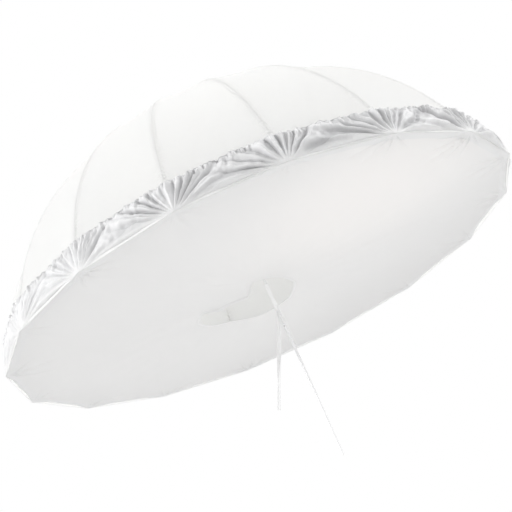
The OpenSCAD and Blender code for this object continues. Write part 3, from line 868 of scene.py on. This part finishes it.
gatherSizes = dict(count=23, deep=0.0056, long=0.036, longVary=0.45, phaseVary=0.42, phaseLong=0.02,
                   size=0.65, sizeVary=0.5, edge=0.75, end=0.004,
                   broadCount=11, broadDeep=0.0065, broadVary=0.35, broadPhaseLong=0.03, broadLean=0.66,
                   broadLong=0.045, broadLongVary=0.022, broadEnd=0.012,
                   hold=0.8, holdFrom=0.010, holdTo=0.002)


def gatherPhase(phi, w, sizes):
    return around(phi, sizes["count"]) + sizes["phaseVary"] * phaseNoise(phi, w / sizes["phaseLong"])


def hemFolds(phi, w, sizes=gatherSizes):
    # small gathers that the elastic draws in the hem, fading towards the rim
    long = sizes["long"] * (1 + sizes["longVary"] * gatherNoise(phi, w * 0))
    near = smooth(w, hemTop - long, hemTop - sizes["end"])
    size = sizes["size"] + sizes["sizeVary"] * gatherNoise(phi, w * 0 + 3, 0.37)
    # broader folds hang from the hem between the ribs, each of its own length
    wander = phaseNoise(phi, w / sizes["broadPhaseLong"], 0.4)
    wide = around(phi, sizes["broadCount"]) + sizes["broadVary"] * wander
    reach = sizes["broadLong"] + sizes["broadLongVary"] * gatherNoise(phi, w * 0 + 5, 0.61)
    broad = smooth(w, hemTop - reach, hemTop - sizes["broadEnd"]) * pleat(wide, sizes["broadLean"])
    small = sizes["deep"] * near * size * wave(gatherPhase(phi, w, sizes)) ** sizes["edge"]
    return small + sizes["broadDeep"] * broad


def foldShade(phi, w, sizes=fanSizes):
    # painted shade for the band's colour: 1 in the bottom of a fold and in the dark ticks between the hem's gathers, 0
    # on its ridge
    height, room = fanFolds(phi, w)
    valley = np.clip((room - height) / sizes["shadeDeep"], 0, 1)
    ticks = (1 - wave(gatherPhase(phi, w, gatherSizes))) ** 2
    ticks = ticks * smooth(w, hemTop - sizes["tickLong"], hemTop - sizes["tickEnd"])
    return np.maximum(valley * smooth(w, *sizes["shadeRise"]), sizes["tick"] * ticks)


def slotArcs():
    # the slot is a lens between two arcs: their radius, and how far their middles lie from the slot's on
    # each side
    long, wide = coverSizes["slotLong"], coverSizes["slotWide"]
    radius = (long ** 2 + wide ** 2) / (4 * wide)
    return radius, radius - wide / 2


def slotGap(x, y):
    # distance outside the slot: the further of the two arcs' middles, less their radius
    radius, shift = slotArcs()
    x, y = x + coverSizes["slotLeft"], y - coverSizes["slotBack"]
    return np.maximum(np.hypot(x, y - shift), np.hypot(x, y + shift)) - radius


def slotReach(phi):
    # how far the slot's edge is from the axis in a direction: the nearer crossing of that line with the two
    # arcs
    radius, shift = slotArcs()
    reach = np.full_like(phi, np.inf)
    for side in (-1, 1):
        cx, cy = -coverSizes["slotLeft"], coverSizes["slotBack"] + side * shift
        along = cx * np.cos(phi) + cy * np.sin(phi)
        reach = np.minimum(reach, along + np.sqrt(np.maximum(along ** 2 - cx ** 2 - cy ** 2 + radius ** 2, 0)))
    return reach


lipSizes = dict(side=0.07, right=((-0.17, 0.01), (0.045, 0.12)), taut=0.017, tautReach=0.10,
                slack=0.019, slackReach=0.085, flap=0.037, flapFrom=(-0.225, -0.15), flapTo=(-0.066, -0.034),
                flapReach=0.026, rolls=0.0022, rollsLong=0.024, rollsFrom=1.3, rollsReach=0.03)


def slotLips(x, y, sizes=lipSizes):
    # the near lip is drawn up taut, the far lip hangs open, and the left of the near lip turns down as a
    # flap; each dies away with the distance from the slot as an exponential
    gap = np.maximum(slotGap(x, y), 0)
    far = smooth(y - coverSizes["slotBack"], -sizes["side"], sizes["side"])
    right = smooth(x, *sizes["right"][0]) * (1 - smooth(x, *sizes["right"][1]))
    left = smooth(x, *sizes["flapFrom"]) * (1 - smooth(x, *sizes["flapTo"]))
    taut = sizes["taut"] * (1 - far) * np.exp(-gap / sizes["tautReach"])
    slack = sizes["slack"] * far * right * np.exp(-gap / sizes["slackReach"])
    flap = sizes["flap"] * left * (1 - far) * np.exp(-gap / sizes["flapReach"])
    rolls = np.sin(x / sizes["rollsLong"] + sizes["rollsFrom"]) * np.exp(-gap / sizes["rollsReach"])
    return taut - slack - flap + sizes["rolls"] * rolls


roughSizes = dict(soft=0.0016, softLong=0.11, softIn=(0.02, 0.12), softOut=(0.10, 0.30),
                  crumple=0.0018, crumpleLong=0.013, crumpleRise=(0.004, 0.03),
                  swell=0.0028, swellLong=0.05, swellMean=0.6, swellRise=(0.01, 0.05))


def coverShape(phi, w):
    # w runs along the cover from the face, below 0, round the rim at 0 and up the dome; the corner is
    # rounded by adding the logarithm of one plus an exponential on each side of it
    local = fromMiddle(phi)
    fromTip = (halfGore - np.abs(local)) * mouthR
    rounder = smooth(fromTip, 0, coverSizes["cornerReach"])
    corner = coverSizes["cornerTip"] + (coverSizes["cornerMiddle"] - coverSizes["cornerTip"]) * rounder
    up = corner * np.logaddexp(0, w / corner)
    inward = corner * np.logaddexp(0, -w / corner)
    z = coverLow + up
    slack = np.cos(local / halfGore * np.pi / 2) * np.exp(-np.abs(w) / coverSizes["slackReach"])
    distance = np.sqrt(coverRho ** 2 - (z - goreZ) ** 2) - inward + coverSizes["rimSlack"] * slack
    radius = distance / np.cos(local)
    x, y = radius * np.cos(phi), radius * np.sin(phi)
    z = z - coverSizes["sag"] * np.maximum(1 - (radius / flatR) ** 2, 0) ** coverSizes["sagPower"]
    z = z + np.where(w < 0, slotLips(x, y), 0)
    soft = smooth(-w, *roughSizes["softIn"]) * smooth(radius, *roughSizes["softOut"])
    z = z + roughSizes["soft"] * softNoise(phi, radius / roughSizes["softLong"]) * soft
    # the folds rise square to the cloth, whose direction turns from straight down to the dome's as it
    # rounds the rim
    turned = 1 / (1 + np.exp(-np.clip(w / corner, -40, 40)))
    side = np.sqrt(np.maximum(1 - ((z - goreZ) / coverRho) ** 2, 0))
    out, rise = side * turned, (z - goreZ) / coverRho * turned - (1 - turned)
    size = np.hypot(out, rise)
    held = smooth(w, hemTop - gatherSizes["holdFrom"], hemTop - gatherSizes["holdTo"])
    height = (fanFolds(phi, w)[0] + hemFolds(phi, w)) * (1 - gatherSizes["hold"] * held)
    crumple = crumpleNoise(phi, w / roughSizes["crumpleLong"]) * smooth(w, *roughSizes["crumpleRise"])
    swell = foldNoise(phi, w / roughSizes["swellLong"] + 5) + roughSizes["swellMean"]
    height = height + roughSizes["crumple"] * crumple
    height = height + roughSizes["swell"] * swell * smooth(w, *roughSizes["swellRise"])
    radial = height * out / size
    return np.stack([x + radial * np.cos(phi), y + radial * np.sin(phi), z + height * rise / size], -1)


def bandShape(number):
    # the band over one gore: its hem is drawn down between the ribs by a sine squared
    def shape(a, b):
        drawn = np.sin(np.pi * a) ** 2 * smooth(b, coverSizes["scallopFrom"], hemTop)
        return coverShape(firstRib + (number + a) * gore, b - coverSizes["scallop"] * drawn)
    return shape


def slotEdge(phi):
    # how far in from the rim's middle the slot's edge lies
    return coverRim - slotReach(phi) * np.cos(fromMiddle(phi))


def makeBand():
    # the grid is closest where the cloth rounds the rim and where it folds
    stretches = ((-coverSizes["lip"], -0.008, 8), (-0.005, 0.012, 14), (0.0145, 0.066, 24),
                 (0.068, hemTop - 0.001, 20))
    w = np.concatenate([np.linspace(*stretch) for stretch in stretches])
    u = np.linspace(0, 1, coverSizes["bandColumns"])
    for number in range(ribCount):
        # the fold attribute carries each piece's painted fold shade
        item = clothPiece(f"coverBand{number + 1:02d}", bandShape(number), u, w, coverSizes["cloth"],
                          lambda a, b: np.stack([a * coverSizes["bandWide"], b], -1),
                          values=dict(fold=lambda a, b: foldShade(firstRib + (number + a) * gore, b)))
        item.data.materials.append(bandCloth)
        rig.replaces(item, "diffuser_band")
        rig.slot(item, "diffuser_cloth")
        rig.sheet(item, flat=coverSizes["bandCut"], held="gathered", rests_on=[f"canopyGore{number + 1:02d}"])
        foldWithRib(item, number, foldKeep)


def faceCut(number):
    # a sector lies flat between the slot and the band's lip: half the difference of both reaches squared,
    # summed over its angle
    phi = firstRib + (number + (np.arange(200) + 0.5) / 200) * halfGore
    outer = (coverRim - coverSizes["lip"]) / np.cos(fromMiddle(phi))
    return float((outer ** 2 - slotReach(phi) ** 2).mean()) / 2 * halfGore


def makeFace():
    # b runs from the slot's edge to the band's lip, in a grid that is closer away from the slot
    stretches = ((0, 0.10, 16), (0.115, 0.72, 52), (0.7255, 1, 52))
    s = np.concatenate([np.linspace(*stretch) for stretch in stretches])
    u = np.linspace(0, 1, coverSizes["faceColumns"])
    wide, long = coverSizes["faceWide"], coverSizes["faceLong"]
    for number in range(2 * ribCount):
        def shape(a, b):
            phi = firstRib + (number + a) * halfGore
            return coverShape(phi, -slotEdge(phi) * (1 - b) - coverSizes["lip"] * b)
        item = clothPiece(f"coverFace{number + 1:02d}", shape, u, s, coverSizes["cloth"],
                          lambda a, b: np.stack([a * wide, b * long], -1))
        item.data.materials.append(diffuserCloth)
        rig.replaces(item, "diffuser_face")
        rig.slot(item, "diffuser_cloth")
        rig.sheet(item, flat=coverSizes["faceCut"], held="stretched", area=faceCut(number),
                 rests_on=["diffuser_band"])
        foldInside(item, number + 0.5)


def foldInside(item, number):
    # the closed face is flattened towards the shaft and a little downwards
    turn, tilt = firstRib + number * halfGore, math.radians(15)
    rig.squash(item, "runner_slide",
              axis=(math.cos(turn) * math.cos(tilt), math.sin(turn) * math.cos(tilt), math.sin(tilt)),
              anchor=(0, 0, coverLow - coverSizes["sag"]), keep=coverSizes["faceKeep"])
    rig.ride(item, "shaft")


makeBand()
print("band made")
makeFace()
print("face made")


# Hems of the cover

hemSizes = dict(halfWide=0.0036, halfThick=0.0009, inset=0.0045, proud=0.0006, swell=0.25, points=201,
                bindHalfWide=0.0054, bindHalfThick=0.0012, bindOver=0.004, bindSunk=0.0002, bindPoints=31)


def edgeFrame(shape, u, v, step=2e-4):
    place, outward = shape(u, v), normalsOf(shape, u, v)
    aside = unit(shape(u, v + step) - shape(u, v - step))
    return place, aside, outward


def makeHems(sizes):
    u = np.linspace(0, 1, sizes["points"])
    for number in range(ribCount):
        place, aside, outward = edgeFrame(bandShape(number), u, np.full_like(u, hemTop - sizes["inset"]))
        swell = 1 + sizes["swell"] * wave(around(firstRib + (number + u) * gore, gatherSizes["count"] * 2))
        item = sweep(f"coverHem{number + 1:02d}", place + outward * sizes["proud"], aside, outward,
                     sizes["halfWide"], sizes["halfThick"] * swell)
        item.data.materials.append(hemCloth)
        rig.replaces(item, "band_elastic")
        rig.slot(item, "hem_cloth")
        foldWithRib(item, number, foldKeep)


def makeBinding(sizes):
    u = np.linspace(0, 1, sizes["bindPoints"])
    for number in range(2 * ribCount):
        def shape(a, b):
            phi = firstRib + (number + a) * halfGore
            return coverShape(phi, -slotEdge(phi) + b)
        place, aside, outward = edgeFrame(shape, u, np.full_like(u, sizes["bindSunk"]))
        centres = place + aside * sizes["bindOver"] - outward * sizes["bindSunk"]
        item = sweep(f"slotBinding{number + 1:02d}", centres, aside, outward,
                     sizes["bindHalfWide"], sizes["bindHalfThick"])
        item.data.materials.append(bindingCloth)
        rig.replaces(item, "slot_binding")
        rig.slot(item, "hem_cloth")
        foldInside(item, number + 0.5)


makeHems(hemSizes)
makeBinding(hemSizes)
print("hems made")


# Hard finishes

def hard(name, look):
    def build(maker):
        place = maker.place()
        stretch = maker.node("ShaderNodeMapping", values={"Vector": place, "Scale": look["stretch"]})
        grain = maker.noise(stretch, look["grain"], 4.0, 0.6)
        stain = maker.noise(place, look["stain"], 3.0, 0.5)
        colour = maker.mix(grain.between(*look["grainRise"]), look["colour"], look["shade"])
        colour = maker.mix(stain.between(*look["stainRise"]), colour, look["worn"])
        rough = stain.between(0.3, 0.75, look["rough"] - look["roughLess"], look["rough"] + look["roughMore"])
        metal = look["metal"]
        if "fittings" in look:
            # the eye, the joiner and the tip cap are told from the rod by their distance from the axis
            x, y, _ = maker.parts(place)
            reach = (x * x + y * y) ** 0.5
            eye, low, high, cap = look["fittings"]
            metalMask = (reach < eye) + (reach > low) * (reach < high)
            capMask = reach > cap
            colour = maker.mix(metalMask, colour, look["metalColour"])
            colour = maker.mix(capMask, colour, look["capColour"])
            metal = metalMask * look["fittingMetal"]
            rough = rough - metalMask * look["fittingSmooth"]
        normal = maker.bump(grain, look["bump"])
        return maker.node("ShaderNodeBsdfPrincipled", values={
            "Base Color": colour, "Roughness": rough, "Metallic": metal, "Normal": normal,
            "Coat Weight": look["coat"], "Specular IOR Level": 0.5})
    return finishOf(name, build)


hardBase = dict(grainRise=(0.3, 0.7, 0.0, 0.55), stainRise=(0.55, 0.8, 0.0, 0.4),
                roughLess=0.07, roughMore=0.09, coat=0.0)
hardLooks = {
    "tubeSteel": dict(colour=(0.89, 0.89, 0.895), shade=(0.86, 0.86, 0.87), worn=(0.83, 0.83, 0.835),
                      metal=0.55, rough=0.32, grain=400.0, stretch=(1, 1, 0.03), stain=24.0, bump=0.00001),
    "whitePlastic": dict(colour=(0.86, 0.86, 0.85), shade=(0.83, 0.83, 0.82), worn=(0.80, 0.80, 0.785),
                         metal=0.0, rough=0.42, grain=420.0, stretch=(1, 1, 1), stain=60.0, bump=0.00006,
                         coat=0.1),
    "fittingSteel": dict(colour=(0.72, 0.72, 0.73), shade=(0.62, 0.62, 0.64), worn=(0.55, 0.54, 0.53),
                         metal=1.0, rough=0.30, grain=700.0, stretch=(1, 1, 0.2), stain=90.0, bump=0.00003),
    "springSteel": dict(colour=(0.60, 0.61, 0.64), shade=(0.50, 0.51, 0.55), worn=(0.44, 0.42, 0.40),
                        metal=1.0, rough=0.26, grain=800.0, stretch=(1, 1, 0.05), stain=120.0, bump=0.00002),
    "bushBronze": dict(colour=(0.70, 0.60, 0.42), shade=(0.60, 0.50, 0.33), worn=(0.50, 0.41, 0.28),
                       metal=1.0, rough=0.36, grain=600.0, stretch=(1, 1, 1), stain=80.0, bump=0.00003),
    "washerPlastic": dict(colour=(0.88, 0.88, 0.87), shade=(0.84, 0.84, 0.83), worn=(0.80, 0.80, 0.79),
                          metal=0.0, rough=0.5, grain=300.0, stretch=(1, 1, 1), stain=50.0, bump=0.00005),
    "strutSteel": dict(colour=(0.86, 0.86, 0.865), shade=(0.79, 0.79, 0.80), worn=(0.72, 0.71, 0.70),
                       metal=1.0, rough=0.33, grain=240.0, stretch=(1, 1, 1), stain=30.0, bump=0.00004),
    "fibreRod": dict(colour=(0.93, 0.93, 0.92), shade=(0.90, 0.90, 0.885), worn=(0.87, 0.87, 0.855),
                     metal=0.0, rough=0.38, grain=260.0, stretch=(1, 1, 1), stain=26.0, bump=0.00005,
                     fittings=(0.0475, 0.3243, 0.3377, 0.8035), fittingMetal=0.95, fittingSmooth=0.12,
                     metalColour=(0.72, 0.72, 0.73), capColour=(0.86, 0.86, 0.85))}
finishes = {key: hard(key, dict(hardBase, **look)) for key, look in hardLooks.items()}
finishOfNode = dict(shaft_tube="tubeSteel", shaft_plug="whitePlastic", crown="whitePlastic",
                    runner_hub="whitePlastic", top_nut="whitePlastic", catch_pin="fittingSteel",
                    crown_pin="fittingSteel", crown_wire="fittingSteel", stop_ring="fittingSteel",
                    runner_bush="bushBronze",
                    catch_spring="springSteel", top_washer="washerPlastic")
finishOfNode.update({f"rib_{number + 1:02d}": "fibreRod" for number in range(ribCount)})
finishOfNode.update({f"strut_{number + 1:02d}": "strutSteel" for number in range(ribCount)})


def dressNodes():
    for name, key in finishOfNode.items():
        item = nodes[name]
        if not item.material_slots:
            item.data.materials.append(finishes[key])
        for place in item.material_slots:
            place.material = finishes[key]


# Light and floor

studio = dict(sky=0.71, floorZ=-1.75, floorSize=16.0, suns=dict(
    keyLight=dict(toward=(-0.84, -0.26, 0.48), strength=2.05, angle=24),
    sideLight=dict(toward=(0.78, 0.12, 0.62), strength=1.85, angle=34)),
    fillAt=(0.75, -0.75, -1.45), fillTo=(0.25, -0.25, coverLow), fillSize=1.7, fillPower=5.0,
    floorPoints=9, floorColour=(0.69, 0.69, 0.69), floorSpeck=(0.67, 0.67, 0.67), floorRough=0.7)


def makeStudio(look):
    # an even sky that is brighter where it is seen or mirrored, two soft suns, a lamp from below, and a
    # pale floor that isn't seen from below
    world = bpy.data.worlds.new("studio")
    scene.world = world
    maker = Maker(world)
    rays = maker.node("ShaderNodeLightPath").socket.node
    seen = Field(maker, rays.outputs["Is Camera Ray"])
    for kind in ("Is Glossy Ray", "Is Transmission Ray"):
        seen = seen.sum("MAXIMUM", seen, Field(maker, rays.outputs[kind]))
    strength = seen * (1 - look["sky"]) + look["sky"]
    sky = maker.node("ShaderNodeBackground", values={"Color": (1, 1, 1, 1), "Strength": strength})
    maker.node("ShaderNodeOutputWorld", values={"Surface": sky})
    for name, size in look["suns"].items():
        sun = bpy.data.lights.new(name, "SUN")
        sun.energy, sun.angle = size["strength"], math.radians(size["angle"])
        item = bpy.data.objects.new(name, sun)
        item.rotation_mode = "QUATERNION"
        item.rotation_quaternion = Vector(size["toward"]).to_track_quat("Z", "Y")
        scene.collection.objects.link(item)
    lamp = bpy.data.lights.new("fillLight", "AREA")
    lamp.shape, lamp.size, lamp.energy = "DISK", look["fillSize"], look["fillPower"]
    item = bpy.data.objects.new("fillLight", lamp)
    item.location = look["fillAt"]
    item.visible_camera = False
    item.rotation_mode = "QUATERNION"
    item.rotation_quaternion = (Vector(look["fillAt"]) - Vector(look["fillTo"])).to_track_quat("Z", "Y")
    scene.collection.objects.link(item)
    count = look["floorPoints"]
    x, y = np.meshgrid(*[np.linspace(-look["floorSize"], look["floorSize"], count)] * 2)
    points = np.stack([x, y, np.full_like(x, look["floorZ"])], -1).reshape(-1, 3)
    floor = buildMesh("floor", points, gridFaces(count, count))

    def build(maker):
        speck = maker.noise(maker.place(), 3.0)
        colour = maker.mix(speck.between(0.3, 0.7), look["floorColour"], look["floorSpeck"])
        pale = maker.node("ShaderNodeBsdfPrincipled", values={
            "Base Color": colour, "Roughness": look["floorRough"]})
        clear = maker.node("ShaderNodeBsdfTransparent")
        below = maker.node("ShaderNodeNewGeometry", out="Backfacing")
        return maker.node("ShaderNodeMixShader", values={0: below, 1: pale, 2: clear})
    floor.data.materials.append(finishOf("paleFloor", build))
    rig.stage(floor)
    scene.view_settings.view_transform = "Standard"


dressNodes()
print("hard finishes made")
makeStudio(studio)
print("light made")
with open("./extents.json", "w") as out:
    json.dump({"cad": cadBox, "visual": [list(corner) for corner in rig.bounds()]}, out)
